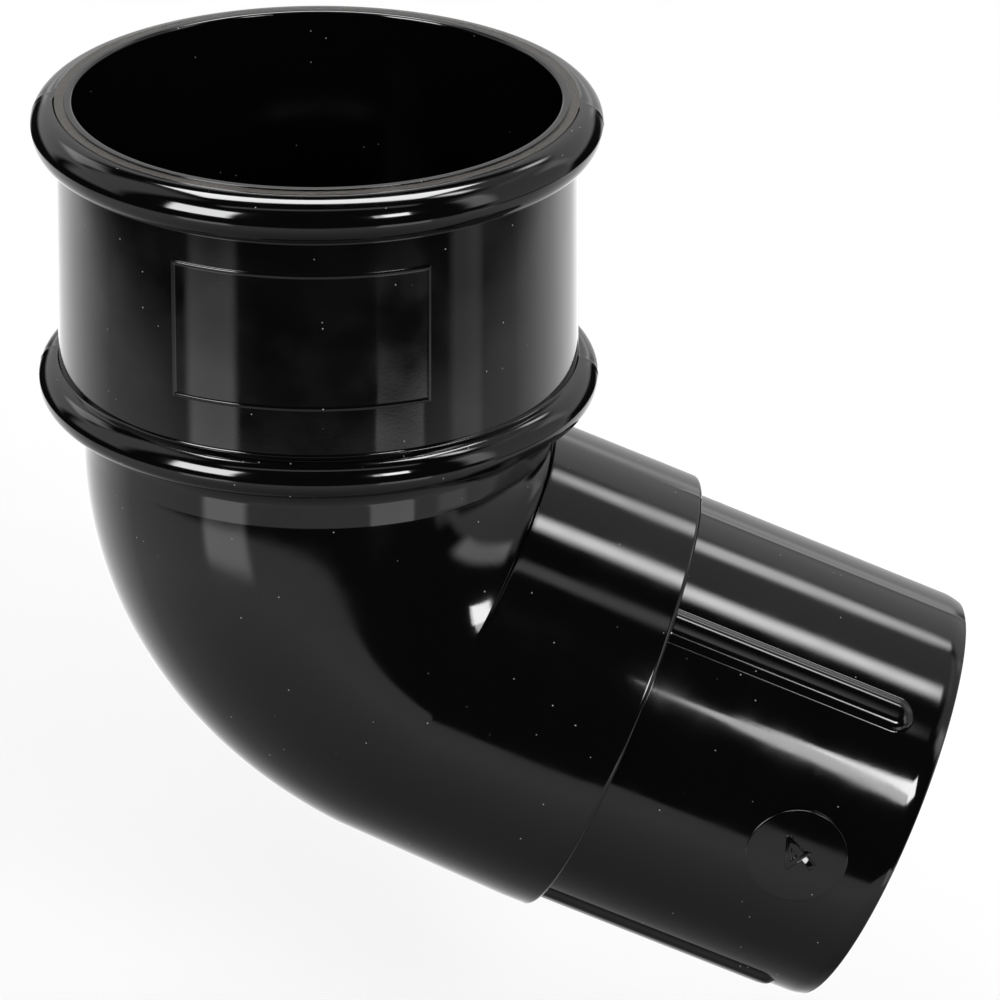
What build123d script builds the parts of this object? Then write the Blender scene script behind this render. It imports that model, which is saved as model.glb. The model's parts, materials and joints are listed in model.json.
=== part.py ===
from build123d import *
import os
from math import cos, radians, sin, tan

# Downpipe offset bend: one hollow moulding that joins round rainwater pipe and turns it by 67.5 degrees.
# Millimetres, +Z up. The origin is on the socket's axis at the pipe stop, where the pipe from above
# seats. The socket opens upwards, and the spigot leaves towards +X, below the horizontal.

# Pipe that the bend joins, and how loosely it goes into the socket and over the spigot
pipe_diameter = 80.0
pipe_wall = 1.8
socket_clearance = 0.75
spigot_clearance = 0.9

# Socket, a cylinder with a bead round its mouth and another round its foot. A thin lip stands round
# the mouth, above the turned face of the rim.
socket_depth = 48.0
socket_wall = 3.0
socket_draft = 0.3
mouth_chamfer = 0.5
lip_width = 0.9
lip_height = 0.3
rim_bead_radius = 4.1
foot_bead_radius = 3.5
foot_bead_drop = 1.8

# Neck and elbow. The elbow's throat keeps one small distance from the bend's axis, while its outer wall
# swells a little after the neck and then draws in towards the sleeve.
turn_angle = 67.5
crossing_depth = 40.2
neck_allowance = 0.1
neck_to_bend_axis = 0.7
throat_radius = 1.4
elbow_swell = 1.2
elbow_draw_in = 0.85
elbow_wall = 2.2
elbow_sections = 9
seam_step = 0.05

# Sleeve, flush with the pipe on its throat side. Its start leans back from the throat, and its other
# side tapers out to a short collar, which ends in the shoulder that the lower pipe butts against.
sleeve_lean = 6.5
collar_length = 5.0
shoulder_reach = 54.7
shoulder_edge_round = 0.8

# Spigot, which goes inside the lower pipe and is centred there by four ribs
spigot_length = 50.8
spigot_wall = 2.3
lead_in_length = 3.0
lead_in_depth = 0.35
spigot_end_chamfer = 0.4
bore_cone_length = 5.0

# Ribs along the spigot, at angles from its throat side, in a mirrored pair for each angle
rib_angles = (43.0, 143.0)
rib_foot_width = 5.2
rib_squeeze = 0.1
rib_draft = 40.0
rib_end_gap = 6.7
rib_sink = 0.5

# Sizes that follow from the ones above
sleeve_radius = pipe_diameter / 2
socket_bore_radius = sleeve_radius + socket_clearance
rim_radius = socket_bore_radius + socket_wall
foot_radius = rim_radius + socket_draft
lip_radius = socket_bore_radius + mouth_chamfer + lip_width
rim_level = socket_depth - lip_height
neck_radius = sleeve_radius + neck_allowance
bend_radius = neck_radius + neck_to_bend_axis
bend_reach = bend_radius * tan(radians(turn_angle / 2))
neck_end = bend_reach - crossing_depth
elbow_turn = turn_angle - sleeve_lean
waterway_radius = sleeve_radius - elbow_draw_in - elbow_wall
collar_reach = shoulder_reach - collar_length
spigot_radius = sleeve_radius - pipe_wall - spigot_clearance
rib_height = spigot_clearance + rib_squeeze
spigot_bore_radius = spigot_radius - spigot_wall
spigot_reach = shoulder_reach + spigot_length
rib_reach = spigot_reach - rib_end_gap
rib_base_width = rib_foot_width + 2 * rib_sink * tan(radians(rib_draft))

# The spigot's own frame: its origin is where the two axes cross, its z axis runs out along the spigot,
# and its x axis points to the throat side.
outward = Vector(sin(radians(turn_angle)), 0, -cos(radians(turn_angle)))
throat_side = Vector(cos(radians(turn_angle)), 0, sin(radians(turn_angle)))
crossing = Vector(0, 0, -crossing_depth)
spigot_frame = Plane(origin=crossing, x_dir=throat_side, z_dir=outward)
bend_centre = Vector(bend_radius, 0, neck_end)


def bend_plane(angle):
    """Section plane across the bend, turned by an angle in degrees from the socket's end of it."""
    away = Vector(-cos(radians(angle)), 0, -sin(radians(angle)))
    onward = Vector(sin(radians(angle)), 0, -cos(radians(angle)))
    return Plane(origin=bend_centre + away * bend_radius, x_dir=-away, z_dir=onward)


def outer_wall(share):
    """How far the elbow's outer wall stands from the bend's axis, at a share of the elbow's turn."""
    even = neck_radius * (1 - share) + (sleeve_radius - elbow_draw_in) * share
    return bend_radius + even + 3 * elbow_swell * share * (1 - share) ** 2


# Socket, beads and neck: one profile turned about the socket's axis
with BuildPart() as socket_body:
    with BuildSketch(Plane.XZ):
        with BuildLine():
            rim_foot = (rim_radius, rim_level - 2 * rim_bead_radius)
            foot_top = (foot_radius, foot_bead_radius - foot_bead_drop)
            foot_under = (foot_radius, -foot_bead_radius - foot_bead_drop)
            Polyline((0, socket_depth), (lip_radius, socket_depth), (lip_radius, rim_level), (rim_radius, rim_level))
            ThreePointArc(
                (rim_radius, rim_level), (rim_radius + rim_bead_radius, rim_level - rim_bead_radius), rim_foot
            )
            Line(rim_foot, foot_top)
            ThreePointArc(foot_top, (foot_radius + foot_bead_radius, -foot_bead_drop), foot_under)
            Polyline(foot_under, (neck_radius, foot_under[1]), (neck_radius, neck_end), (0, neck_end))
            Line((0, neck_end), (0, socket_depth))
        make_face()
    revolve(axis=Axis.Z)

# Elbow: round sections on planes through the bend's axis, from the throat to the outer wall, each a
# hair inside the neck and the sleeve
with BuildPart() as elbow_body:
    for index in range(elbow_sections):
        share = index / (elbow_sections - 1)
        elbow_radius = (outer_wall(share) - seam_step - throat_radius) / 2
        with BuildSketch(bend_plane(elbow_turn * share)):
            with Locations((bend_radius - throat_radius - elbow_radius, 0)):
                Circle(elbow_radius)
    loft()

# One rib, in the spigot's frame, on its throat side: a round-ended bar with drafted flanks
with BuildPart() as rib:
    with BuildSketch(Plane.YZ.offset(spigot_radius - rib_sink)):
        with Locations((0, (shoulder_reach - rib_base_width + rib_reach) / 2)):
            SlotOverall(rib_reach - shoulder_reach + rib_base_width, rib_base_width, rotation=90)
    extrude(amount=rib_sink + rib_height, taper=rib_draft)

# Sleeve: from a circle that stands proud of the elbow's throat and is flush with its outer wall
with BuildPart() as sleeve_body:
    sleeve_start_radius = (outer_wall(1) - bend_radius + sleeve_radius) / 2
    with BuildSketch(bend_plane(elbow_turn)):
        with Locations((sleeve_radius - sleeve_start_radius, 0)):
            Circle(sleeve_start_radius)
    with BuildSketch(spigot_frame.offset(collar_reach)):
        Circle(sleeve_radius)
    loft()

# Collar, shoulder and spigot: one profile turned about the spigot's axis, with the ribs on it
with BuildPart() as spigot_body:
    with BuildSketch(Plane.XZ) as spigot_profile:
        with BuildLine():
            Polyline(
                (0, collar_reach),
                (sleeve_radius, collar_reach),
                (sleeve_radius, shoulder_reach),
                (spigot_radius, shoulder_reach),
                (spigot_radius, spigot_reach - lead_in_length),
                (spigot_radius - lead_in_depth, spigot_reach),
                (0, spigot_reach),
                close=True,
            )
        make_face()
        fillet(spigot_profile.vertices().group_by(Axis.X)[-1].sort_by(Axis.Y)[-1], shoulder_edge_round)
        chamfer(spigot_profile.vertices().group_by(Axis.Y)[-1].sort_by(Axis.X)[-1], spigot_end_chamfer)
    revolve(axis=Axis.Z)
    for angle in rib_angles:
        add(rib.part, rotation=(0, 0, angle))
        add(rib.part, rotation=(0, 0, -angle))

# The hollow above the sleeve: pipe socket with its stop, and the waterway round the bend
with BuildPart() as hollow:
    with BuildSketch(Plane.XZ):
        with BuildLine():
            Polyline(
                (0, neck_end),
                (waterway_radius, neck_end),
                (waterway_radius, 0),
                (socket_bore_radius, 0),
                (socket_bore_radius, socket_depth - mouth_chamfer),
                (socket_bore_radius + mouth_chamfer, socket_depth),
                (0, socket_depth),
                close=True,
            )
        make_face()
    revolve(axis=Axis.Z)
    with BuildSketch(Plane.XY.offset(neck_end)):
        Circle(waterway_radius)
    revolve(axis=Axis(bend_centre, (0, -1, 0)), revolution_arc=turn_angle)

# The hollow below it, which narrows to the spigot's bore just before the shoulder
with BuildPart() as spigot_bore:
    with BuildSketch(Plane.XZ):
        with BuildLine():
            Polyline(
                (0, bend_reach),
                (waterway_radius, bend_reach),
                (waterway_radius, shoulder_reach - bore_cone_length),
                (spigot_bore_radius, shoulder_reach),
                (spigot_bore_radius, spigot_reach),
                (0, spigot_reach),
                close=True,
            )
        make_face()
    revolve(axis=Axis.Z)

with BuildPart() as offset_bend:
    add(socket_body.part)
    add(elbow_body.part)
    add(sleeve_body.part)
    with Locations(spigot_frame):
        add(spigot_body.part)
    add(hollow.part, mode=Mode.SUBTRACT)
    with Locations(spigot_frame):
        add(spigot_bore.part, mode=Mode.SUBTRACT)

offset_bend.part.label = "offset_bend"
os.makedirs("parts", exist_ok=True)
export_step(offset_bend.part, "parts/offset_bend.step")
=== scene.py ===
import json
from math import acos, cos, degrees, pi, radians, sin, tan
from types import SimpleNamespace

import bmesh
import bpy
import numpy as np
from bpy.props import FloatProperty, FloatVectorProperty, PointerProperty, StringProperty
from mathutils import Matrix, Vector


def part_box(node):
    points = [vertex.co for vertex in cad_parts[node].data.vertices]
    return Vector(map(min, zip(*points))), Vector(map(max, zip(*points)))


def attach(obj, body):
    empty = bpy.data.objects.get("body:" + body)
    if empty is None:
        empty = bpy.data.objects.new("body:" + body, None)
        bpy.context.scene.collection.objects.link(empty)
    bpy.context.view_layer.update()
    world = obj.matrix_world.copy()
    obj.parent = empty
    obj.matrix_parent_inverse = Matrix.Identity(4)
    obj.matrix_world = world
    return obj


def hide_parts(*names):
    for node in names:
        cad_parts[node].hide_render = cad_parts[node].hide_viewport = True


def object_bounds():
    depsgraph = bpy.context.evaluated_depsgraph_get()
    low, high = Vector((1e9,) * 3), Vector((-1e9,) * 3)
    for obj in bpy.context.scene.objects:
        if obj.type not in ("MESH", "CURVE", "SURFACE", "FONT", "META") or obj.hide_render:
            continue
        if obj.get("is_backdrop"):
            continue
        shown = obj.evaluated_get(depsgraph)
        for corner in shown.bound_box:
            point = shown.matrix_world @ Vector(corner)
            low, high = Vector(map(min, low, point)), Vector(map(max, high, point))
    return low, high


# Looks of a glossy black downpipe offset bend: the moulding with all its small rounds, the marks that the
# mould leaves on it, its finishes, and a pale studio. Metres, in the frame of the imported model.

bl_info = {
    "name": "Downpipe Offset Bend",
    "version": (1, 0, 0),
    "blender": (4, 5, 0),
    "location": "View3D > Sidebar > Offset Bend",
    "description": "Builds a glossy black rainwater pipe bend and its studio round the packed model",
    "category": "Add Mesh",
}

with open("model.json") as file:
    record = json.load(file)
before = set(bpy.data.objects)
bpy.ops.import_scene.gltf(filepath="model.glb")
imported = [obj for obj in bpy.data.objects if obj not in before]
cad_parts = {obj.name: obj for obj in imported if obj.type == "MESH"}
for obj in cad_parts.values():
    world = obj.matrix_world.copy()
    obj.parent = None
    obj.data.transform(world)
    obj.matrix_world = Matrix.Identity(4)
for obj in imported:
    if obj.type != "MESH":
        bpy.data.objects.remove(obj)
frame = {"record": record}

NODE = "offset_bend"
BODY = "root"
MM = 0.001
SAME_PLACE = 1e-7
X_AXIS = np.array((1.0, 0.0, 0.0))
Y_AXIS = np.array((0.0, 1.0, 0.0))
Z_AXIS = np.array((0.0, 0.0, 1.0))

MOUNTS = {mount["name"]: mount for mount in frame["record"]["mounts"]}
BORE_RADIUS = MOUNTS["socket"]["dims"]["r_mm"] * MM
SPIGOT_RADIUS = MOUNTS["spigot"]["dims"]["r_mm"] * MM
SPIGOT_LENGTH = MOUNTS["spigot"]["dims"]["length_mm"] * MM
SPIGOT_AXIS = np.array(MOUNTS["spigot"]["axis"])
SHOULDER_PLACE = np.array(MOUNTS["spigot"]["pos_m"])
SOCKET_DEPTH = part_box(NODE)[1].z

# Columns of the moulding's grid, in degrees: the even step, the fine ones across a parting line, and the
# room kept clear beside fine ones. A rib has its own, over a little more than its width.
COLUMN_STEP = 2.0
LINE_COLUMNS = (-0.45, -0.2, 0.0, 0.2, 0.45)
COLUMN_ROOM = 0.3
RIB_COLUMNS = 27
RIB_COLUMN_REACH = 0.62
PARTING_SPREAD = 0.22

# Edges of the neck and the sleeve: the rings in each, the share of a step that its round may take, and the
# angles from the throat, in degrees, where it starts to fade and where it is gone
SEAM_RINGS = 6
SEAM_ROOM = 0.9
NECK_EDGE = (35, 62)
SLEEVE_EDGE = (45, 70)


def length(name, description, millimetres):
    """A size in Blender's own unit, from its value in millimetres."""
    return FloatProperty(
        name=name, description=description, default=millimetres * MM, unit="LENGTH", precision=5, step=0.01
    )


def turn(name, description, angle):
    """An angle, from its value in degrees."""
    return FloatProperty(name=name, description=description, default=radians(angle), subtype="ANGLE")


def pixels(name, description, count):
    """A length in the photograph, in pixels."""
    return FloatProperty(name=name, description=description, default=count, subtype="PIXEL")


def hex_colour(name, description, code):
    """A colour picked in Blender, from its sRGB hex code."""
    return FloatVectorProperty(
        name=name, description=description, default=linear(code), size=3, min=0.0, max=1.0, subtype="COLOR"
    )


def linear(code):
    """Linear red, green and blue of an sRGB hex code."""
    channels = np.array([int(code[place:place + 2], 16) for place in (0, 2, 4)]) / 255
    curved = ((channels + 0.055) / 1.055) ** 2.4
    return tuple(np.where(channels <= 0.04045, channels / 12.92, curved).tolist())


class SocketSizes(bpy.types.PropertyGroup):
    pipe_clearance: length("Pipe clearance", "Gap all round the pipe in the socket", 0.75)
    wall: length("Wall", "Thickness of the socket's wall at the rim", 3.0)
    draft: length("Draft", "How much wider the wall is at the foot bead", 0.3)
    mouth_round: length("Mouth round", "Round on the inner edge of the mouth", 0.5)
    lip_width: length("Lip width", "Flat top of the lip round the mouth", 0.9)
    lip_height: length("Lip height", "Step from the lip down to the turned face", 0.3)
    rim_bead: length("Rim bead", "Radius of the half-round bead under the mouth", 4.1)
    foot_bead: length("Foot bead", "Radius of the half-round bead at the socket's foot", 3.5)
    foot_bead_drop: length("Foot bead drop", "Foot bead's middle below the pipe stop", 1.8)
    bead_root: length("Bead root", "Round in the corner between a bead and the wall", 0.45)


class BendSizes(bpy.types.PropertyGroup):
    neck_allowance: length("Neck allowance", "How much the neck is wider than the pipe, on radius", 0.1)
    axis_gap: length("Axis gap", "From the neck's side to the axis that the bend turns about", 0.7)
    throat: length("Throat", "Distance of the elbow's throat from the bend's axis", 1.4)
    swell: length("Swell", "How much the outer wall swells after the neck", 1.2)
    draw_in: length("Draw-in", "How much the outer wall draws in at the sleeve", 0.85)
    wall: length("Wall", "Thickness of the elbow's wall", 2.2)
    seam: length("Seam", "How far the elbow stays inside the neck and the sleeve", 0.05)
    sleeve_lean: turn("Sleeve lean", "How far the sleeve's start leans back from the throat", 6.5)
    seam_round: length("Seam round", "Round on the edges of the neck and the sleeve", 0.28)


class SpigotSizes(bpy.types.PropertyGroup):
    collar: length("Collar", "Straight end of the sleeve before the shoulder", 5.0)
    shoulder_round: length("Shoulder round", "Round on the shoulder's edge", 0.8)
    wall: length("Wall", "Thickness of the spigot's wall", 2.3)
    lead_in: length("Lead-in", "Length of the taper at the spigot's end", 3.0)
    lead_in_depth: length("Lead-in depth", "How much the taper takes off the radius", 0.35)
    end_round: length("End round", "Round on the edges of the spigot's end", 0.4)
    bore_cone: length("Bore cone", "Length over which the bore narrows", 5.0)
    rib_angle: turn("Rib angle", "Upper ribs, from the throat side", 43.0)
    lower_rib_angle: turn("Lower rib angle", "Lower ribs, from the throat side", 143.0)
    rib_width: length("Rib width", "Width of a rib's foot", 5.8)
    rib_height: length("Rib height", "Height of a rib", 1.0)
    rib_foot_round: length("Rib foot round", "Height over which a rib's foot is rounded", 0.12)
    rib_end_gap: length("Rib end gap", "From a rib's end to the spigot's end", 6.7)


class MarkSizes(bpy.types.PropertyGroup):
    parting_height: length("Parting line height", "How proud the line between the mould halves is", 0.05)
    panel_left: turn("Panel left", "Left edge of the blank panel, from +X towards -Y", 118.6)
    panel_right: turn("Panel right", "Right edge of the blank panel, from +X towards -Y", 61.3)
    panel_top: length("Panel top", "Height of the panel's upper edge", 34.0)
    panel_foot: length("Panel foot", "Height of the panel's lower edge", 9.9)
    panel_proud: length("Panel proud", "How proud the middle of the panel is", 0.05)
    panel_border: length("Panel border", "How proud the fine line just inside the panel's edge is", 0.07)
    panel_curve: length("Panel curve", "Radius of the panel's flatter face", 45.5)
    disc_radius: length("Disc radius", "Radius of the witness disc on the spigot", 8.7)
    disc_reach: length("Disc reach", "Disc's middle along the spigot's axis", 89.2)
    disc_curve: length("Disc curve", "Radius of the disc's flatter face", 80.0)
    disc_proud: length("Disc proud", "How proud the middle of the disc is", 0.08)
    disc_tilt: turn("Disc tilt", "How far the disc's face looks down", 2.5)
    disc_turn: turn("Disc turn", "How far the disc is turned up from the front", 2.0)
    figure_turn: turn("Figure turn", "How far the figure is turned on the disc", 60.0)
    figure: StringProperty(name="Figure", description="Plain figure in the witness disc", default="4")
    figure_height: length("Figure height", "Height of the plain figure", 7.4)


class FinishColours(bpy.types.PropertyGroup):
    plastic: hex_colour("Plastic", "Body colour of the moulded plastic", "050506")
    turned_dark: hex_colour("Turned dark", "Darker marks on the turned face", "15120f")
    turned_light: hex_colour("Turned light", "Lighter marks on the turned face", "3a352f")
    dust: hex_colour("Dust", "Specks of dust on the gloss", "9a9794")


class StageSettings(bpy.types.PropertyGroup):
    camera_place: FloatVectorProperty(
        name="Camera place",
        description="Where the camera stands",
        default=(66.54 * MM, -913.40 * MM, 396.97 * MM),
        subtype="TRANSLATION",
        unit="LENGTH",
    )
    camera_turn: turn("Camera turn", "Turn about the vertical", 2.911)
    camera_dip: turn("Camera dip", "How far the camera looks down", 24.369)
    camera_roll: turn("Camera roll", "Roll about the line of sight", 0.155)
    camera_scale: pixels("Camera scale", "Focal length", 5874.4)
    centre_across: pixels("Centre across", "Line of sight, from the left edge", 436.49)
    centre_down: pixels("Centre down", "Line of sight, from the top edge", 455.68)
    frame_width: pixels("Frame", "Width and height of the photograph", 1000.0)
    floor_gap: length("Floor gap", "Floor below the lowest point of the bend", 60.0)
    floor: hex_colour("Floor", "Colour of the paper floor", "fafafa")
    floor_fleck: hex_colour("Floor fleck", "Slightly darker fibres in the paper", "f8f8f8")


PROPERTY_GROUPS = {
    "bend_socket": SocketSizes,
    "bend_elbow": BendSizes,
    "bend_spigot": SpigotSizes,
    "bend_marks": MarkSizes,
    "bend_finish": FinishColours,
    "bend_stage": StageSettings,
}


def bend_form(scene):
    """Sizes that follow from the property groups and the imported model."""
    socket, elbow, spigot = scene.bend_socket, scene.bend_elbow, scene.bend_spigot
    form = SimpleNamespace(socket=socket, elbow=elbow, spigot=spigot, marks=scene.bend_marks)
    form.turn = acos(-SPIGOT_AXIS[2])
    form.throat_side = np.array((-SPIGOT_AXIS[2], 0.0, SPIGOT_AXIS[0]))
    form.shoulder_reach = SHOULDER_PLACE[0] / SPIGOT_AXIS[0]
    form.crossing = SHOULDER_PLACE - SPIGOT_AXIS * form.shoulder_reach
    form.sleeve_radius = BORE_RADIUS - socket.pipe_clearance
    form.rim_radius = BORE_RADIUS + socket.wall
    form.foot_radius = form.rim_radius + socket.draft
    form.lip_radius = BORE_RADIUS + socket.mouth_round + socket.lip_width
    form.rim_level = SOCKET_DEPTH - socket.lip_height
    form.neck_radius = form.sleeve_radius + elbow.neck_allowance
    form.bend_radius = form.neck_radius + elbow.axis_gap
    form.bend_reach = form.bend_radius * tan(form.turn / 2)
    form.neck_end = form.bend_reach + form.crossing[2]
    form.bend_centre = np.array((form.bend_radius, 0.0, form.neck_end))
    form.elbow_turn = form.turn - elbow.sleeve_lean
    form.waterway_radius = form.sleeve_radius - elbow.draw_in - elbow.wall
    form.collar_reach = form.shoulder_reach - spigot.collar
    form.spigot_reach = form.shoulder_reach + SPIGOT_LENGTH
    form.spigot_bore = SPIGOT_RADIUS - spigot.wall
    form.end_radius = SPIGOT_RADIUS - spigot.lead_in_depth
    return form


def arc(centre, radius, start, end, steps):
    """Profile points centre + radius (cos a, sin a), for a from start to end in degrees."""
    angles = np.radians(np.linspace(start, end, steps + 1))
    return np.column_stack((centre[0] + radius * np.cos(angles), centre[1] + radius * np.sin(angles)))


def run(start, end, steps=1, hold=0.12 * MM):
    """Profile points of a straight stretch, even but for one more point close to each end."""
    start, end = np.array(start), np.array(end)
    near = min(0.25, hold / np.linalg.norm(end - start))
    shares = np.concatenate(((0.0, near), np.linspace(0, 1, steps + 1)[1:-1], (1 - near, 1.0)))
    return start + shares[:, None] * (end - start)


def joined(*stretches):
    """One profile from several stretches, without the points where they repeat each other."""
    points = np.concatenate(stretches)
    steps = np.linalg.norm(np.diff(points, axis=0), axis=1)
    return points[np.concatenate(((True,), steps > SAME_PLACE))]


def rings(origin, across, along, radius, height, angles):
    """Grid of points origin + radius (across cos t + Y sin t) + along height, for each row and angle t."""
    radius = np.broadcast_to(radius, (len(radius), len(angles)))
    height = np.broadcast_to(height, (len(height), len(angles)))
    origin, across, along = (np.atleast_2d(vector)[:, None, :] for vector in (origin, across, along))
    flat = across * (radius * np.cos(angles))[..., None] + Y_AXIS * (radius * np.sin(angles))[..., None]
    return origin + flat + along * height[..., None]


def offset_circle(offset, radius, angles):
    """Distance from the axis to a circle whose centre is moved across it by offset, at each angle."""
    return offset * np.cos(angles) + np.sqrt(radius**2 - (offset * np.sin(angles)) ** 2)


def wrapped(angles):
    """Angles brought into the half turn on each side of nothing."""
    return (angles + pi) % (2 * pi) - pi


def column_angles(form):
    """Angles of the columns: even steps, with fine ones across each rib and each parting line."""
    even = np.radians(np.arange(0, 360, COLUMN_STEP))
    rib_span = form.spigot.rib_width / SPIGOT_RADIUS * RIB_COLUMN_REACH
    rib_steps = np.linspace(-rib_span, rib_span, RIB_COLUMNS)
    line_steps = np.radians(LINE_COLUMNS)
    rib_angles = (form.spigot.rib_angle, form.spigot.lower_rib_angle)
    centres = [(side * angle, rib_steps) for angle in rib_angles for side in (1, -1)]
    centres += [(0.0, line_steps), (pi, line_steps)]
    for centre, steps in centres:
        even = even[np.abs(wrapped(even - centre)) > steps[-1] + radians(COLUMN_ROOM)]
    fine = np.concatenate([centre + steps for centre, steps in centres])
    return np.sort(np.concatenate((even, fine)) % (2 * pi))


def parting_line(form, angles):
    """Height of the parting line at each angle: a narrow bell round the plane of symmetry."""
    near = np.minimum(np.abs(wrapped(angles)), np.abs(wrapped(angles - pi)))
    return form.marks.parting_height * np.exp(-((near / radians(PARTING_SPREAD)) ** 2))


def bead_root(wall_radius, middle, bead, root, side):
    """A half-round bead's end angle in degrees and its root's centre, on one side: 1 above, -1 below.

    The root's centre is one root outside the wall, and a bead and a root from the bead's centre.
    """
    rise = np.sqrt((bead + root) ** 2 - root**2)
    return side * degrees(np.arctan2(rise, root)), (wall_radius + root, middle + side * rise)


def socket_outside(form):
    """Profile of the socket from its mouth to its neck: lip, turned face, two beads and the wall."""
    sizes = form.socket
    top, level = SOCKET_DEPTH, form.rim_level
    lip_edge = 0.1 * MM
    root = sizes.bead_root
    rim_middle, foot_middle = level - sizes.rim_bead, -sizes.foot_bead_drop
    rim_end, rim_root = bead_root(form.rim_radius, rim_middle, sizes.rim_bead, root, -1)
    foot_start, foot_root = bead_root(form.foot_radius, foot_middle, sizes.foot_bead, root, 1)
    under = foot_middle - sizes.foot_bead
    mouth_centre = (BORE_RADIUS + sizes.mouth_round, top - sizes.mouth_round)
    mouth = arc(mouth_centre, sizes.mouth_round, 180, 90, 6)
    lip = joined(
        run(mouth[-1], (form.lip_radius - lip_edge, top), 2),
        arc((form.lip_radius - lip_edge, top - lip_edge), lip_edge, 90, 0, 3),
        run((form.lip_radius, top - lip_edge), (form.lip_radius, level), hold=0.04 * MM),
    )
    turned_face = run((form.lip_radius, level), (form.rim_radius, level), 3, hold=0.05 * MM)
    beads = joined(
        arc((form.rim_radius, rim_middle), sizes.rim_bead, 90, rim_end, 26),
        arc(rim_root, root, 180 + rim_end, 180, 5),
        run((form.rim_radius, rim_root[1]), (form.foot_radius, foot_root[1]), 5),
        arc(foot_root, root, 180, 180 + foot_start, 5),
        arc((form.foot_radius, foot_middle), sizes.foot_bead, foot_start, -90, 26),
        run((form.foot_radius, under), (form.neck_radius + root, under), 2),
        arc((form.neck_radius + root, under - root), root, 90, 180, 5),
    )
    return mouth, lip, turned_face, beads


def near_throat(angles, full, gone):
    """One near the throat, falling smoothly to nothing between two angles from it, in degrees."""
    part = np.clip((radians(gone) - np.abs(wrapped(angles))) / radians(gone - full), 0, 1)
    return part**2 * (3 - 2 * part)


def eased(part):
    """One at nothing, falling smoothly to nothing at one: 1 - 3 s squared + 2 s cubed."""
    return 1 - part**2 * (3 - 2 * part)


def quarter_turn():
    """Angles of the rings over the round edge of a seam."""
    return np.radians(np.linspace(0, 90, SEAM_RINGS))[:, None]


def neck_gap(form, angles):
    """How far the elbow's first section stands inside the neck at each angle."""
    radius, offset = elbow_section(form, 0.0)
    return form.neck_radius - offset_circle(offset, radius, angles)


def neck_rings(form, angles, elbow_start):
    """Neck, and its lower edge: a small round over the step in to the elbow, and plain away from it."""
    plain_top, plain_foot, last_straight = 0.9, 0.15, 1.1 * MM
    under = -form.socket.foot_bead_drop - form.socket.foot_bead - form.socket.bead_root
    near = near_throat(angles, *NECK_EDGE)
    edge = near * np.minimum(form.elbow.seam_round, SEAM_ROOM * neck_gap(form, angles))
    sweep = quarter_turn()
    plain = (1 - near) * np.linspace(plain_top, plain_foot, SEAM_RINGS)[:, None] * MM
    neck = np.full_like(angles, form.neck_radius)
    level = np.full_like(angles, form.neck_end)
    radius = [neck, neck, neck, *(neck - edge * (1 - np.cos(sweep))), elbow_start]
    height = [neck * 0 + under, (under + level) / 2, level + last_straight]
    height += [*(level + edge * (1 - np.sin(sweep)) + plain), level]
    return rings(np.zeros(3), X_AXIS, Z_AXIS, np.array(radius), np.array(height), angles)


def elbow_section(form, part):
    """Radius and offset of the elbow's round section, at a share of its turn.

    The throat stays at one distance from the bend's axis. The outer wall goes evenly from the neck to the
    drawn-in sleeve, plus a swell that follows 3 s (1 - s) squared.
    """
    even = form.neck_radius * (1 - part) + (form.sleeve_radius - form.elbow.draw_in) * part
    outer = form.bend_radius + even + 3 * form.elbow.swell * part * (1 - part) ** 2 - form.elbow.seam
    radius = (outer - form.elbow.throat) / 2
    return radius, form.bend_radius - form.elbow.throat - radius


def bend_axes(form, turned):
    """Middle of the bend's section at each turn, the way to the bend's axis, and the way onwards."""
    away = np.column_stack((-np.cos(turned), 0 * turned, -np.sin(turned)))
    onward = np.column_stack((np.sin(turned), 0 * turned, -np.cos(turned)))
    return form.bend_centre + away * form.bend_radius, -away, onward


def elbow_rings(form, angles):
    """The elbow's sections, from the neck to the sleeve.

    Near the throat they leave a small step under the neck. Away from it they ease out to meet it flush.
    """
    close_to_neck, sections = 0.002, 60
    parts = np.concatenate(((0.0, close_to_neck), np.linspace(0, 1, sections)[1:]))
    radius, offset = elbow_section(form, parts[:, None])
    origin, across, onward = bend_axes(form, parts * form.elbow_turn)
    radius = offset_circle(offset, radius, angles)
    gap = neck_gap(form, angles) * (1 - near_throat(angles, *NECK_EDGE))
    radius = radius + gap * eased(parts[:, None])
    return rings(origin, across, onward, radius, np.zeros((len(parts), 1)), angles), radius[0], radius[-1]


def sleeve_rings(form, angles, elbow_end):
    """Sleeve: its leaning start, then a straight taper to the collar.

    Near the throat it starts flush with the pipe, with a small round edge that stands proud of the elbow.
    Away from the throat it carries on from the elbow.
    """
    first_share, edge_share = 0.004, 0.03
    start_radius = (2 * form.sleeve_radius - form.elbow.draw_in) / 2
    start = offset_circle(form.sleeve_radius - start_radius, start_radius, angles)
    edge = np.minimum(form.elbow.seam_round, SEAM_ROOM * (start - elbow_end))
    sweep = quarter_turn()
    radius = start - edge * (1 - np.sin(sweep))
    height = edge * (1 - np.cos(sweep))
    origin, across, onward = bend_axes(form, np.array([form.elbow_turn]))
    proud = rings(origin, across, onward, radius, height, angles)
    joint = rings(origin, across, onward, elbow_end[None, :], np.zeros((1, 1)), angles)
    last = rings(
        form.crossing, form.throat_side, SPIGOT_AXIS, np.array([[form.sleeve_radius]]),
        np.array([[form.collar_reach]]), angles,
    )
    plain = joint + np.linspace(first_share, edge_share, SEAM_RINGS)[:, None, None] * (last - joint)
    near = near_throat(angles, *SLEEVE_EDGE)[None, :, None]
    first = near * proud + (1 - near) * plain
    shares = np.array((edge_share, 0.25, 0.5, 0.75))[:, None, None]
    return np.concatenate((first, first[-1] + shares * (last[0] - first[-1]), last))


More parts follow.
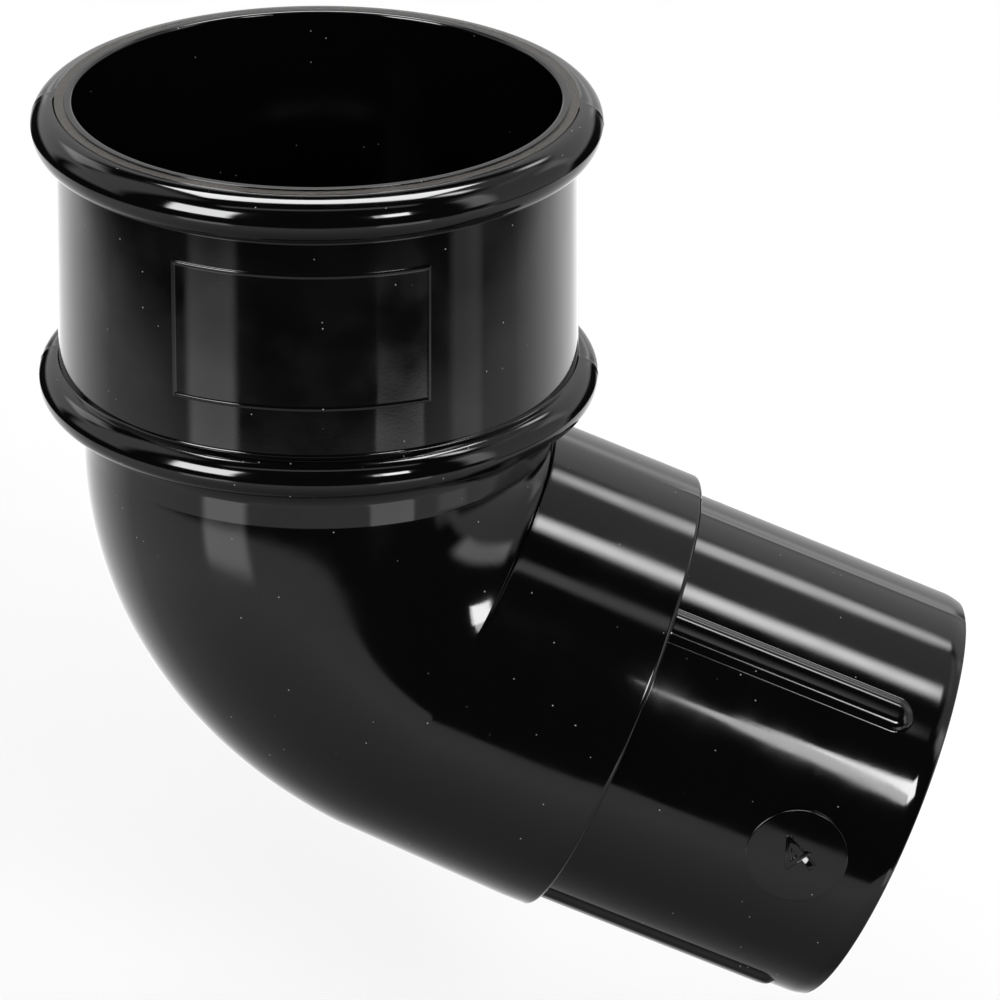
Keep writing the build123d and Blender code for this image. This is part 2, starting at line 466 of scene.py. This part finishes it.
def rib_height(form, angles, reach):
    """Height of the ribs at each place on the spigot: a low bar with a soft top and a round end.

    The distance d from the bar's middle line, against half its width, is taken round the barrel, and past
    the last round centre also along it. The height is 1 - d to the fourth, with a small round at the foot.
    """
    sizes = form.spigot
    half = sizes.rib_width / 2
    beyond = np.maximum(0, reach - (form.spigot_reach - sizes.rib_end_gap - half))
    nearest = np.full_like(angles, pi)
    for angle in (sizes.rib_angle, sizes.lower_rib_angle):
        for side in (1, -1):
            nearest = np.minimum(nearest, np.abs(wrapped(angles - side * angle)))
    distance = np.hypot(nearest * SPIGOT_RADIUS, beyond) / half
    height = sizes.rib_height * (1 - distance**4)
    foot = sizes.rib_foot_round
    return np.where(height > foot, height, np.maximum(0, height + foot) ** 2 / (4 * foot))


def spigot_rings(form, angles):
    """Collar, shoulder, ribbed spigot, its end, and its bore back to the cone."""
    sizes = form.spigot
    edge, root, end, past_rib = sizes.shoulder_round, 0.2 * MM, sizes.end_round, 0.4 * MM
    shoulder, tip = form.shoulder_reach, form.spigot_reach
    rib_end = tip - sizes.rib_end_gap
    rib_round = rib_end - sizes.rib_width / 2
    barrel_end = tip - sizes.lead_in
    barrel = np.concatenate((
        np.linspace(shoulder + 2 * root, rib_round, 10),
        np.linspace(rib_round, rib_end + past_rib, 13)[1:],
        (barrel_end,),
    ))
    lead = np.linspace(0, 1, 9)
    taper = SPIGOT_RADIUS - sizes.lead_in_depth * lead**2
    outside = joined(
        run((form.sleeve_radius, form.collar_reach), (form.sleeve_radius, shoulder - edge), 2)[2:],
        arc((form.sleeve_radius - edge, shoulder - edge), edge, 0, 90, 8),
        run((form.sleeve_radius - edge, shoulder), (SPIGOT_RADIUS + root, shoulder)),
        arc((SPIGOT_RADIUS + root, shoulder + root), root, 270, 180, 3),
        np.column_stack((barrel * 0 + SPIGOT_RADIUS, barrel)),
        np.column_stack((taper, barrel_end + (sizes.lead_in - end) * lead)),
        arc((form.end_radius - end, tip - end), end, 0, 90, 5),
    )
    bore, waterway, cone_start = form.spigot_bore, form.waterway_radius, shoulder - sizes.bore_cone
    inside = joined(
        run((form.end_radius - end, tip), (bore + end / 2, tip)),
        arc((bore + end / 2, tip - end / 2), end / 2, 90, 180, 4),
        run((bore, tip - end / 2), (bore, shoulder), 4, hold=0.4 * MM),
        run((bore, shoulder), (waterway, cone_start), hold=0.3 * MM),
        run((waterway, cone_start), (waterway, form.bend_reach), 2, hold=0.4 * MM),
    )
    radius = outside[:, :1] + parting_line(form, angles)
    on_barrel = outside[:, :1] <= SPIGOT_RADIUS + root
    on_barrel &= outside[:, 1:] >= shoulder
    radius = radius + on_barrel * rib_height(form, angles, outside[:, 1:])
    radius = np.concatenate((radius, np.broadcast_to(inside[:, :1], (len(inside), len(angles)))))
    height = np.concatenate((outside, inside))[:, 1:]
    return rings(form.crossing, form.throat_side, SPIGOT_AXIS, radius, height, angles)


def waterway_rings(form, angles):
    """The turn of the waterway, from the spigot back up to the neck: sections of one round radius."""
    sections = 32
    turned = np.linspace(form.turn, 0, sections)
    origin, across, onward = bend_axes(form, turned)
    radius = np.full((len(turned), 1), form.waterway_radius)
    return rings(origin, across, onward, radius, 0 * radius, angles)


def socket_inside(form):
    """Profile from the neck's bore over the pipe stop and up the socket's bore to the mouth."""
    edge, root = 0.5 * MM, 0.3 * MM
    waterway = form.waterway_radius
    return joined(
        run((waterway, form.neck_end), (waterway, -edge), hold=0.3 * MM),
        arc((waterway + edge, -edge), edge, 180, 90, 5),
        run((waterway + edge, 0), (BORE_RADIUS - root, 0)),
        arc((BORE_RADIUS - root, root), root, 270, 360, 4),
        run((BORE_RADIUS, root), (BORE_RADIUS, SOCKET_DEPTH - form.socket.mouth_round), 4, hold=0.3 * MM),
    )


def bend_grid(form):
    """All rings of the moulding in one loop, out over its outside and back through its inside."""
    angles = column_angles(form)
    line = parting_line(form, angles)

    def turned(profile, outside=False):
        radius = profile[:, :1] + (line if outside else 0 * line)
        return rings(np.zeros(3), X_AXIS, Z_AXIS, radius, profile[:, 1:], angles)

    elbow, elbow_start, elbow_end = elbow_rings(form, angles)
    mouth, lip, turned_face, beads = socket_outside(form)
    moulded, faced = 0, 1
    stretches = [
        (turned(mouth), moulded),
        (turned(lip), moulded),
        (turned(turned_face), faced),
        (turned(beads, outside=True), moulded),
        (neck_rings(form, angles, elbow_start), moulded),
        (elbow, moulded),
        (sleeve_rings(form, angles, elbow_end), moulded),
        (spigot_rings(form, angles), moulded),
        (waterway_rings(form, angles), moulded),
        (turned(socket_inside(form)), moulded),
    ]
    grid = np.concatenate([points for points, finish in stretches])
    finishes = np.concatenate([np.full(len(points), finish) for points, finish in stretches])
    moved = np.linalg.norm(grid - np.roll(grid, 1, axis=0), axis=2).max(axis=1) > SAME_PLACE
    return grid[moved], finishes[moved]


def grid_mesh(name, grid, wrap_rows=True, row_finishes=None):
    """Mesh of a grid of points whose columns close into rings, with a quad between each four points."""
    rows, columns = grid.shape[:2]
    first = np.arange(rows if wrap_rows else rows - 1)[:, None]
    column = np.arange(columns)[None, :]
    row, next_row = first * columns, (first + 1) % rows * columns
    beside = (column + 1) % columns
    corners = (row + column, row + beside, next_row + beside, next_row + column)
    quads = np.stack(corners, axis=-1).reshape(-1, 4)
    mesh = bpy.data.meshes.new(name)
    mesh.from_pydata(grid.reshape(-1, 3).tolist(), [], quads.tolist())
    if row_finishes is not None:
        mesh.polygons.foreach_set("material_index", np.repeat(row_finishes[first[:, 0]], columns))
    return mesh


def finished(piece_mesh, *materials, replaces=None):
    """Object for a finished mesh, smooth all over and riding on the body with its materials."""
    for material in materials:
        piece_mesh.materials.append(material)
    piece_mesh.shade_smooth()
    piece_mesh.update()
    piece = bpy.data.objects.new(piece_mesh.name, piece_mesh)
    bpy.context.scene.collection.objects.link(piece)
    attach(piece, BODY)
    if replaces:
        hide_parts(replaces)


def pad_edge(edge, skirt):
    """Inset and drop of a pad's rim: from its sunk foot up a short wall and round a quarter circle."""
    wall_top, steps = 0.02 * MM, 5
    sweep = np.radians(np.linspace(0, 90, steps))
    inset = np.concatenate(((0.0, 0.0), edge * (1 - np.cos(sweep))))
    drop = np.concatenate(((skirt, edge + wall_top), edge * (1 - np.sin(sweep))))
    return inset, drop


def panel_grid(form):
    """The blank panel: a loop round it for each height, out over its face and back inside the wall.

    Its face is flatter than the wall, so that its sides stand a little prouder than its middle: it rises by
    half of 1 / cos a - 1, times what its radius is over the wall's. A fine line runs round it just inside
    its edge, a bell across. At its border the face and the back meet inside the wall.
    """
    marks = form.marks
    skirt, edge = 0.4 * MM, 0.12 * MM
    line_place, line_spread = 0.45 * MM, 0.16 * MM
    border, margin, border_steps = (0.2, 1.0), 1.5 * MM, 9
    columns, rows = 60, 12
    inset, drop = pad_edge(edge, skirt)
    wall = (form.rim_radius + form.foot_radius) / 2
    half = (marks.panel_left - marks.panel_right) / 2 * wall
    inset = np.concatenate((inset, np.linspace(*border, border_steps) * MM))
    drop = np.concatenate((drop, np.zeros(border_steps)))
    inner = np.linspace(-half + margin, half - margin, columns)
    across = np.concatenate((inset - half, inner, half - inset[::-1]))
    across_drop = np.concatenate((drop, inner * 0, drop[::-1]))
    tall = np.linspace(marks.panel_foot + margin, marks.panel_top - margin, rows)
    level = np.concatenate((marks.panel_foot + inset, tall, marks.panel_top - inset[::-1]))
    level_drop = np.concatenate((drop, tall * 0, drop[::-1]))
    lowered = np.maximum(across_drop[None, :], level_drop[:, None])
    to_side = half - np.abs(across)[None, :]
    to_end = np.minimum(level - marks.panel_foot, marks.panel_top - level)[:, None]
    inward = np.minimum(to_side, to_end)
    line = marks.panel_border * np.exp(-(((inward - line_place) / line_spread) ** 2))
    angle = across / wall
    face = marks.panel_proud + (marks.panel_curve - wall) * (1 / np.cos(angle) - 1) * 0.5
    taper = form.socket.draft * (0.5 - level / SOCKET_DEPTH)[:, None]
    radius = wall + taper + face + line - lowered
    back = np.broadcast_to(wall + taper + face - skirt, radius.shape)
    radius = np.concatenate((radius, back[:, ::-1]), axis=1)
    middle = (marks.panel_left + marks.panel_right) / 2
    turned = -middle + np.concatenate((angle, angle[::-1]))
    height = np.broadcast_to(level[:, None], radius.shape)
    return np.stack((radius * np.cos(turned), radius * np.sin(turned), height), axis=-1)


def disc_face(form, across):
    """Height of the disc's face above the barrel, which falls away faster than the flatter, tilted face."""
    marks = form.marks
    flatter = across**2 / 2 * (1 / SPIGOT_RADIUS - 1 / marks.disc_curve)
    return marks.disc_proud + flatter + across * tan(marks.disc_tilt)


def disc_place(form, along, across, above):
    """Points on the spigot's side at the disc, from places along the axis, round the barrel and above it."""
    angle = -pi / 2 + across / SPIGOT_RADIUS + form.marks.disc_turn
    radius = SPIGOT_RADIUS + above
    up, sideways = (radius * np.cos(angle))[..., None], (radius * np.sin(angle))[..., None]
    reach = (form.marks.disc_reach + along)[..., None]
    return form.crossing + (form.throat_side * up + Y_AXIS * sideways) + SPIGOT_AXIS * reach


def disc_grid(form):
    """The witness disc: rings from its middle out over its flatter face, down its rim and back inside."""
    marks = form.marks
    skirt, edge, margin = 1.3 * MM, 0.15 * MM, 0.4 * MM
    face_rings, column_step = 22, 4.0
    inset, drop = pad_edge(edge, skirt)
    inner = np.linspace(0, marks.disc_radius - margin, face_rings)
    radius = np.concatenate((inner, marks.disc_radius - inset[::-1], inner[::-1]))[:, None]
    lowered = np.concatenate((inner * 0, drop[::-1], inner * 0 + skirt))[:, None]
    angles = np.radians(np.arange(0, 360, column_step))
    along, across = radius * np.cos(angles), radius * np.sin(angles)
    return disc_place(form, along, across, disc_face(form, across) - lowered)


def merged(mesh):
    """Close the seams and poles of a mesh, where its grid's points fall together."""
    shell = bmesh.new()
    shell.from_mesh(mesh)
    bmesh.ops.remove_doubles(shell, verts=shell.verts, dist=SAME_PLACE)
    bmesh.ops.dissolve_degenerate(shell, edges=shell.edges, dist=SAME_PLACE)
    bmesh.ops.recalc_face_normals(shell, faces=shell.faces)
    shell.to_mesh(mesh)
    shell.free()
    return mesh


def figure_mesh(form):
    """The plain figure: flat text with a rounded edge, turned into a mesh and laid on the disc."""
    marks = form.marks
    capital_share, depth, edge, thinner = 0.7, 0.12 * MM, 0.24 * MM, 0.08 * MM
    curve = bpy.data.curves.new("figure_outline", "FONT")
    curve.body = marks.figure
    curve.align_x = curve.align_y = "CENTER"
    curve.size = marks.figure_height / capital_share
    curve.extrude = depth
    curve.bevel_depth = edge
    curve.bevel_resolution = 3
    curve.offset = -thinner
    outline = bpy.data.objects.new("figure_outline", curve)
    bpy.context.scene.collection.objects.link(outline)
    bpy.context.view_layer.update()
    mesh = bpy.data.meshes.new_from_object(outline.evaluated_get(bpy.context.evaluated_depsgraph_get()))
    bpy.data.objects.remove(outline)
    mesh.name = "witness_figure"
    points = np.empty(len(mesh.vertices) * 3)
    mesh.vertices.foreach_get("co", points)
    across, up, above = points.reshape(-1, 3).T
    turned = marks.figure_turn
    along = across * cos(turned) - up * sin(turned)
    around = across * sin(turned) + up * cos(turned)
    placed = disc_place(form, along, around, above + disc_face(form, around))
    mesh.vertices.foreach_set("co", placed.ravel())
    return mesh


def node(tree, kind, inputs=None, **settings):
    """Add a shader node, with its settings and with each input set to a value or linked to a socket."""
    added = tree.nodes.new(kind)
    for name, value in settings.items():
        setattr(added, name, value)
    for name, value in (inputs or {}).items():
        if isinstance(value, bpy.types.NodeSocket):
            tree.links.new(value, added.inputs[name])
        else:
            added.inputs[name].default_value = value
    return added


def maths(tree, operation, *values, **settings):
    """Output of a Math node on one or two values or sockets."""
    inputs = dict(enumerate(values))
    return node(tree, "ShaderNodeMath", inputs, operation=operation, **settings).outputs[0]


def ramp(tree, value, from_low, from_high, low=0.0, high=1.0, **settings):
    """A value taken from one range to another, and held at its ends."""
    inputs = {"Value": value, "From Min": from_low, "From Max": from_high, "To Min": low, "To Max": high}
    return node(tree, "ShaderNodeMapRange", inputs, **settings).outputs["Result"]


def noise(tree, place, millimetres, detail):
    """Noise whose features are of one size."""
    inputs = {"Vector": place, "Scale": per_metre(millimetres), "Detail": detail}
    return node(tree, "ShaderNodeTexNoise", inputs).outputs["Fac"]


def per_metre(millimetres):
    """Scale of a pattern whose features are of one size."""
    return 1 / (millimetres * MM)


def bumped(tree, height, strength, distance, below=None):
    """Normal output of a bump, on top of another one if there is one."""
    inputs = {"Height": height, "Strength": strength, "Distance": distance}
    if below:
        inputs["Normal"] = below
    return node(tree, "ShaderNodeBump", inputs).outputs["Normal"]


def blended(tree, share, first, second):
    """Colour between two colours."""
    inputs = {"Factor": share, 6: (*first, 1.0), 7: (*second, 1.0)}
    return node(tree, "ShaderNodeMix", inputs, data_type="RGBA").outputs[2]


def new_material(name):
    """An empty node material, its node tree, and the place on the object that its patterns follow."""
    material = bpy.data.materials.new(name)
    material.use_nodes = True
    tree = material.node_tree
    tree.nodes.clear()
    return material, tree, node(tree, "ShaderNodeTexCoord").outputs["Object"]


def surfaced(tree, inputs):
    """Give a material its surface, with these inputs."""
    shader = node(tree, "ShaderNodeBsdfPrincipled", inputs)
    node(tree, "ShaderNodeOutputMaterial", {"Surface": shader.outputs["BSDF"]})


def built_once(name, build):
    """A material by name, built the first time that a piece asks for it."""
    return bpy.data.materials.get(name) or build(name, bpy.context.scene.bend_finish)


PVC_IOR = 1.53


def moulded_pvc(name, colours):
    """Glossy black PVC, moulded against polished steel: deep, near-mirror reflections.

    A faint long ripple bends the reflections, a fine grain takes the hardness off them, handling leaves a
    haze in patches, and a few specks of dust lie on the gloss.
    """
    material, tree, place = new_material(name)
    ripple = bumped(tree, noise(tree, place, 22, 1.0), 0.25, 0.25 * MM)
    grain = bumped(tree, noise(tree, place, 0.5, 2.0), 0.1, 0.01 * MM, ripple)
    haze = ramp(tree, noise(tree, place, 9, 5.0), 0.35, 0.75, 0.05, 0.12)
    speck_gap, clean_share, speck_middle, speck_edge = 1.3, 0.93, 0.06, 0.11
    specks = node(tree, "ShaderNodeTexVoronoi", {"Vector": place, "Scale": per_metre(speck_gap)}).outputs
    lot = node(tree, "ShaderNodeSeparateColor", {0: specks["Color"]}).outputs[0]
    chosen = maths(tree, "GREATER_THAN", lot, clean_share)
    dusty = maths(tree, "MULTIPLY", ramp(tree, specks["Distance"], speck_edge, speck_middle), chosen)
    surfaced(tree, {
        "Base Color": blended(tree, dusty, colours.plastic, colours.dust),
        "Roughness": maths(tree, "MAXIMUM", haze, dusty),
        "IOR": PVC_IOR,
        "Normal": grain,
    })
    return material


def turned_pvc(name, colours):
    """The same PVC where the rim was faced on a lathe: matt and brownish, with fine concentric marks."""
    material, tree, place = new_material(name)
    mark_gap = 0.3
    marks = node(
        tree, "ShaderNodeTexWave",
        {"Vector": place, "Scale": per_metre(mark_gap) * pi / 10, "Distortion": 1.2},
        wave_type="RINGS", rings_direction="Z",
    )
    chatter = noise(tree, place, 1.5, 6.0)
    cut = bumped(tree, marks.outputs["Fac"], 0.6, 0.04 * MM)
    surfaced(tree, {
        "Base Color": blended(tree, chatter, colours.turned_dark, colours.turned_light),
        "Roughness": 0.42,
        "IOR": PVC_IOR,
        "Normal": bumped(tree, chatter, 0.5, 0.15 * MM, cut),
    })
    return material


def pale_card(name, colours):
    """Matt white studio paper: an even pale ground with no texture to draw the eye."""
    material, tree, place = new_material(name)
    tint = blended(tree, noise(tree, place, 40, 2.0), colours.floor, colours.floor_fleck)
    surfaced(tree, {"Base Color": tint, "Roughness": 1.0, "Specular IOR Level": 0.0})
    return material


# Studio seen in the gloss: name, azimuth, elevation, width, height and soft edge in degrees, and strength
# against the white ground. The front is a dark room.
GLOWS = (
    ("overhead softbox", 0, 76.5, 46, 23, 3, 20.0),
    ("front strip", 175, 60, 60, 6, 4, 1.3),
    ("backdrop", 0, 26, 120, 32, 8, 0.9),
    ("backdrop middle", 0, -4, 42, 34, 8, 0.85),
    ("right wall", 82, 12, 46, 62, 6, 0.65),
    ("right strip", 110, 14, 11, 40, 7, 2.4),
    ("upper right light", 87.5, 58, 7, 9, 6, 14.5),
    ("rear right light", 39, 42.5, 7, 7, 5, 7.0),
    ("upper right haze", 62, 52, 34, 22, 12, 0.55),
    ("rear left light", -50, 36, 20, 14, 6, 2.0),
    ("left wall", -86, 30, 30, 60, 10, 0.9),
    ("left softbox", -137, 17, 25, 28, 4, 20.0),
    ("low left softbox", -137, -26.5, 20, 8, 4, 2.0),
    ("low right softbox", 140, -28, 20, 9, 1.2, 1.5),
    ("low right card", 108, -23, 14, 8, 5, 0.5),
)
# Light of the dark room in the gloss, and the even light that the camera and matt surfaces get
ROOM_LIGHT = 0.012
EVEN_LIGHT = 1.28
# The table seen in the gloss, as if it were one below the eye: its light straight down, how fast that
# grows outwards and as far as where, and how fast it grows again towards the rear and from where on
TABLE_NEAR = 0.13
TABLE_SPREAD = 0.4
TABLE_REACH = 1.5
TABLE_REAR = 0.78
TABLE_REAR_START = 0.4
# The table's far edge: its height in the direction seen, its rise to the rear, and half of its blur.
# Directions near the level meet the table as if they had the least depth.
TABLE_EDGE = -0.375
TABLE_EDGE_RISE = 0.035
TABLE_EDGE_BLUR = 0.012
LEAST_DEPTH = 0.05

# Softboxes that stand near the bend: name, place, width, height, and radiance against the white ground
SOFTBOXES = (
    ("right_softbox", (0.655, -1.016, 0.413), 0.30, 0.22, 9.0),
    ("right_softbox_core", (0.690, -0.996, 0.413), 0.22, 0.27, 11.0),
)
SOFTBOX_TARGET = Vector((0.05, -0.03, -0.05))
FLOOR_REACH = 4.0


def smooth_ramp(tree, value, dark, bright):
    """Nothing up to one value, and smoothly up to one at another."""
    return ramp(tree, value, dark, bright, interpolation_type="SMOOTHSTEP")


def glow(tree, direction, azimuth, elevation, width, height, soft, strength):
    """Light from one soft-edged rectangle of the studio, seen in a direction; all its sizes in degrees.

    The azimuth runs from +Y towards +X. The rectangle is where the direction's parts across and up from its
    centre are under the sines of its half width and half height.
    """
    turned, raised = radians(azimuth), radians(elevation)
    centre = (sin(turned) * cos(raised), cos(turned) * cos(raised), sin(raised))
    across = (cos(turned), -sin(turned), 0.0)
    upward = (-sin(turned) * sin(raised), -cos(turned) * sin(raised), cos(raised))

    def along(axis):
        inputs = {0: direction, 1: axis}
        return node(tree, "ShaderNodeVectorMath", inputs, operation="DOT_PRODUCT").outputs["Value"]

    lit = maths(tree, "GREATER_THAN", along(centre), 0.0)
    for axis, span in ((across, width), (upward, height)):
        outer = sin(radians(span / 2 + soft / 2))
        inner = sin(radians(max(0.0, span / 2 - soft / 2)))
        inside = smooth_ramp(tree, maths(tree, "ABSOLUTE", along(axis)), outer, inner)
        lit = maths(tree, "MULTIPLY", lit, inside)
    return maths(tree, "MULTIPLY", lit, strength)


def table_light(tree, direction):
    """Light from the table below, seen in a direction.

    Where the direction meets the table it is lighter further out, up to its reach, and lighter again
    towards the rear. The table's far edge stands a little higher at the rear.
    """
    split = node(tree, "ShaderNodeSeparateXYZ", {0: direction}).outputs
    depth = maths(tree, "MAXIMUM", maths(tree, "MULTIPLY", split["Z"], -1.0), LEAST_DEPTH)
    rear = maths(tree, "DIVIDE", split["Y"], depth)
    side = maths(tree, "DIVIDE", split["X"], depth)
    squares = maths(tree, "ADD", maths(tree, "POWER", rear, 2.0), maths(tree, "POWER", side, 2.0))
    outward = maths(tree, "MINIMUM", maths(tree, "SQRT", squares), TABLE_REACH)
    beyond = maths(tree, "MAXIMUM", maths(tree, "SUBTRACT", rear, TABLE_REAR_START), 0.0)
    beyond = maths(tree, "MINIMUM", beyond, TABLE_REACH)
    near = maths(tree, "ADD", maths(tree, "MULTIPLY", outward, TABLE_SPREAD), TABLE_NEAR)
    light = maths(tree, "ADD", near, maths(tree, "MULTIPLY", beyond, TABLE_REAR))
    edge = maths(tree, "ADD", maths(tree, "MULTIPLY", split["Y"], TABLE_EDGE_RISE), TABLE_EDGE)
    under = maths(tree, "SUBTRACT", edge, split["Z"])
    return maths(tree, "MULTIPLY", light, smooth_ramp(tree, under, -TABLE_EDGE_BLUR, TABLE_EDGE_BLUR))


def studio_world():
    """World: white to the camera, soft and even on matt surfaces, and the studio's lights in the gloss."""
    world = bpy.data.worlds.new("studio")
    world.use_nodes = True
    world.cycles.sampling_method = "NONE"
    tree = world.node_tree
    tree.nodes.clear()
    direction = node(tree, "ShaderNodeTexCoord").outputs["Generated"]
    total = maths(tree, "ADD", table_light(tree, direction), ROOM_LIGHT)
    for name, *sizes in GLOWS:
        total = maths(tree, "ADD", total, glow(tree, direction, *sizes), label=name)
    glossy = node(tree, "ShaderNodeLightPath").outputs["Is Glossy Ray"]
    even = node(tree, "ShaderNodeBackground", {"Strength": EVEN_LIGHT}).outputs[0]
    studio = node(tree, "ShaderNodeBackground", {"Strength": total}).outputs[0]
    mixed = node(tree, "ShaderNodeMixShader", {0: glossy, 1: even, 2: studio})
    node(tree, "ShaderNodeOutputWorld", {"Surface": mixed.outputs[0]})
    return world


def softbox(name, place, width, height, radiance):
    """A rectangular light at a place, facing the bend, as bright as so many white grounds."""
    light = bpy.data.lights.new(name, "AREA")
    light.shape = "RECTANGLE"
    light.size, light.size_y = width, height
    light.energy = radiance * pi * width * height
    lamp = bpy.data.objects.new(name, light)
    lamp.location = place
    lamp.rotation_euler = (Vector(place) - SOFTBOX_TARGET).to_track_quat("Z", "Y").to_euler()
    bpy.context.scene.collection.objects.link(lamp)


class OFFSETBEND_OT_moulding(bpy.types.Operator):
    """Build the one-piece moulding with its rounds, beads, seams and ribs, in place of the CAD node"""

    bl_idname = "offset_bend.moulding"
    bl_label = "Build moulding"

    def execute(self, context):
        grid, finishes = bend_grid(bend_form(context.scene))
        mesh = grid_mesh("bend_moulding", grid, row_finishes=finishes)
        plastic = built_once("moulded_pvc", moulded_pvc)
        finished(mesh, plastic, built_once("turned_pvc", turned_pvc), replaces=NODE)
        return {"FINISHED"}


class OFFSETBEND_OT_panel(bpy.types.Operator):
    """Build the blank panel on the socket's front: the plain face of an insert in the mould"""

    bl_idname = "offset_bend.panel"
    bl_label = "Build blank panel"

    def execute(self, context):
        mesh = merged(grid_mesh("blank_panel", panel_grid(bend_form(context.scene)), wrap_rows=False))
        finished(mesh, built_once("moulded_pvc", moulded_pvc))
        return {"FINISHED"}


class OFFSETBEND_OT_witness_disc(bpy.types.Operator):
    """Build the witness disc on the spigot, with its plain figure"""

    bl_idname = "offset_bend.witness_disc"
    bl_label = "Build witness disc"

    def execute(self, context):
        form = bend_form(context.scene)
        plastic = built_once("moulded_pvc", moulded_pvc)
        finished(merged(grid_mesh("witness_disc", disc_grid(form), wrap_rows=False)), plastic)
        finished(merged(figure_mesh(form)), plastic)
        return {"FINISHED"}


class OFFSETBEND_OT_stage(bpy.types.Operator):
    """Set up the pale floor, the soft studio light and the camera at the photograph's angle"""

    bl_idname = "offset_bend.stage"
    bl_label = "Build stage"

    def execute(self, context):
        settings = context.scene.bend_stage
        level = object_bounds()[0][2] - settings.floor_gap
        sides = ((-1, -1), (1, -1), (1, 1), (-1, 1))
        floor = bpy.data.meshes.new("floor")
        floor.from_pydata([(FLOOR_REACH * x, FLOOR_REACH * y, level) for x, y in sides], [], [(0, 1, 2, 3)])
        floor.materials.append(pale_card("pale_card", settings))
        ground = bpy.data.objects.new("floor", floor)
        context.scene.collection.objects.link(ground)
        ground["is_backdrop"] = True
        ground.visible_glossy = False

        for sizes in SOFTBOXES:
            softbox(*sizes)
        context.scene.world = studio_world()
        context.scene.view_settings.view_transform = "Standard"

        width = settings.frame_width
        camera_data = bpy.data.cameras.new("photograph_view")
        camera_data.lens = settings.camera_scale * camera_data.sensor_width / width
        camera_data.shift_x = 0.5 - settings.centre_across / width
        camera_data.shift_y = settings.centre_down / width - 0.5
        camera_data.clip_end = 20.0
        camera = bpy.data.objects.new("photograph_view", camera_data)
        camera.location = settings.camera_place
        turned = Matrix.Rotation(settings.camera_turn, 3, "Z")
        facing = turned @ Matrix.Rotation(pi / 2 - settings.camera_dip, 3, "X")
        camera.rotation_euler = (facing @ Matrix.Rotation(settings.camera_roll, 3, "Z")).to_euler()
        context.scene.collection.objects.link(camera)
        context.scene.camera = camera
        return {"FINISHED"}


class OFFSETBEND_PT_sidebar(bpy.types.Panel):
    """Sizes of the bend, and the steps that build it"""

    bl_idname = "OFFSETBEND_PT_sidebar"
    bl_label = "Offset Bend"
    bl_space_type = "VIEW_3D"
    bl_region_type = "UI"
    bl_category = "Offset Bend"

    def draw(self, context):
        for operator in OPERATORS:
            self.layout.operator(operator.bl_idname)
        for group_name in PROPERTY_GROUPS:
            box = self.layout.box()
            group = getattr(context.scene, group_name)
            for name in type(group).__annotations__:
                box.prop(group, name)


OPERATORS = (
    OFFSETBEND_OT_moulding,
    OFFSETBEND_OT_panel,
    OFFSETBEND_OT_witness_disc,
    OFFSETBEND_OT_stage,
)
CLASSES = (*PROPERTY_GROUPS.values(), *OPERATORS, OFFSETBEND_PT_sidebar)


def register():
    for cls in CLASSES:
        bpy.utils.register_class(cls)
    for name, group in PROPERTY_GROUPS.items():
        setattr(bpy.types.Scene, name, PointerProperty(type=group))


def unregister():
    for name in PROPERTY_GROUPS:
        delattr(bpy.types.Scene, name)
    for cls in reversed(CLASSES):
        bpy.utils.unregister_class(cls)


def main():
    """Build everything in order."""
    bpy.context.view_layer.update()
    register()
    for operator in OPERATORS:
        group, name = operator.bl_idname.split(".")
        getattr(getattr(bpy.ops, group), name)()


if __name__ == "__main__":
    main()
